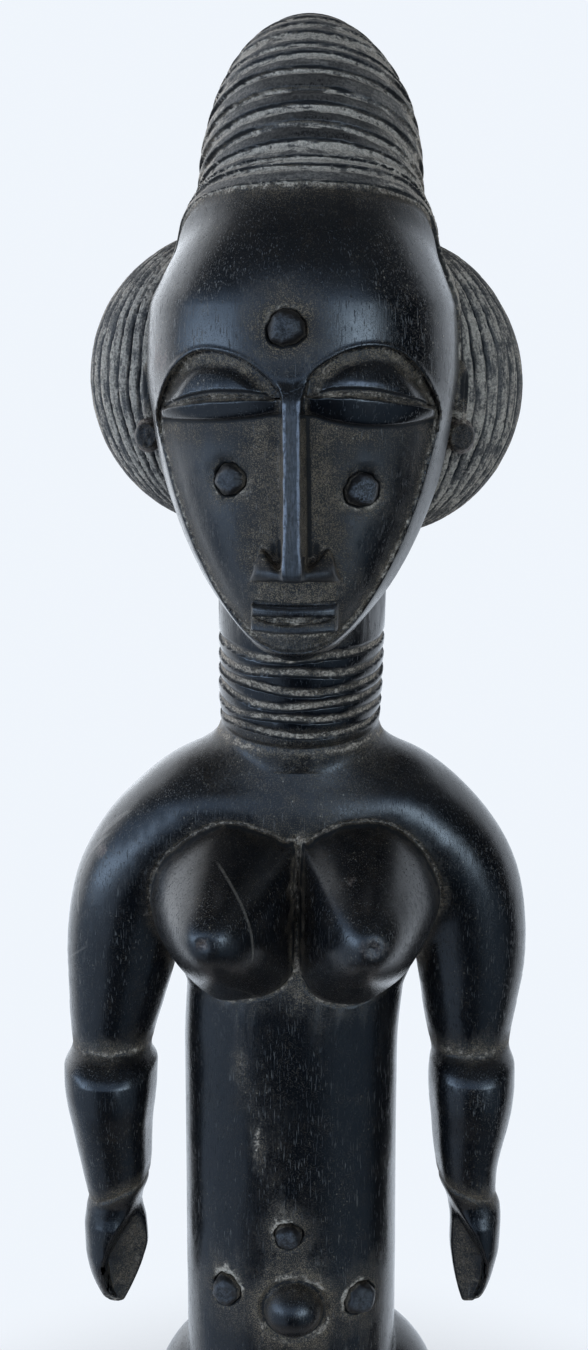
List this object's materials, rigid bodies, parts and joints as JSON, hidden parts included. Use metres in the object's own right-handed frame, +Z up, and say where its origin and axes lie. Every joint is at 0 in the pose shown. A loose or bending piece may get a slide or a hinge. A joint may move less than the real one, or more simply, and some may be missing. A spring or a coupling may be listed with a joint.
{
  "type": "attie figure",
  "caption": "Standing female figure carved from one block of dark hardwood, with ringed neck, ridged tall coiffure, side hair buns and inset pegs, on a low round base.",
  "frame": {"origin": "centre of the flat underside of the round base", "axes": "+Z up through the figure, the face looks along -Y, +X towards the figure's own left hand"},
  "size_m": [0.1084, 0.0884, 0.4497],
  "materials": {
    "dark_wood": "near-black stained hardwood, hand polished, with pale dust in the grooves",
    "peg_wood": "dark whittled wooden pegs, dull end grain"
  },
  "bodies": {
    "root": {"figure": "dark_wood", "peg_forehead": "peg_wood", "peg_cheek_left": "peg_wood", "peg_cheek_right": "peg_wood", "peg_belly_top": "peg_wood", "peg_belly_left": "peg_wood", "peg_belly_right": "peg_wood"}
  },
  "joints": []
}
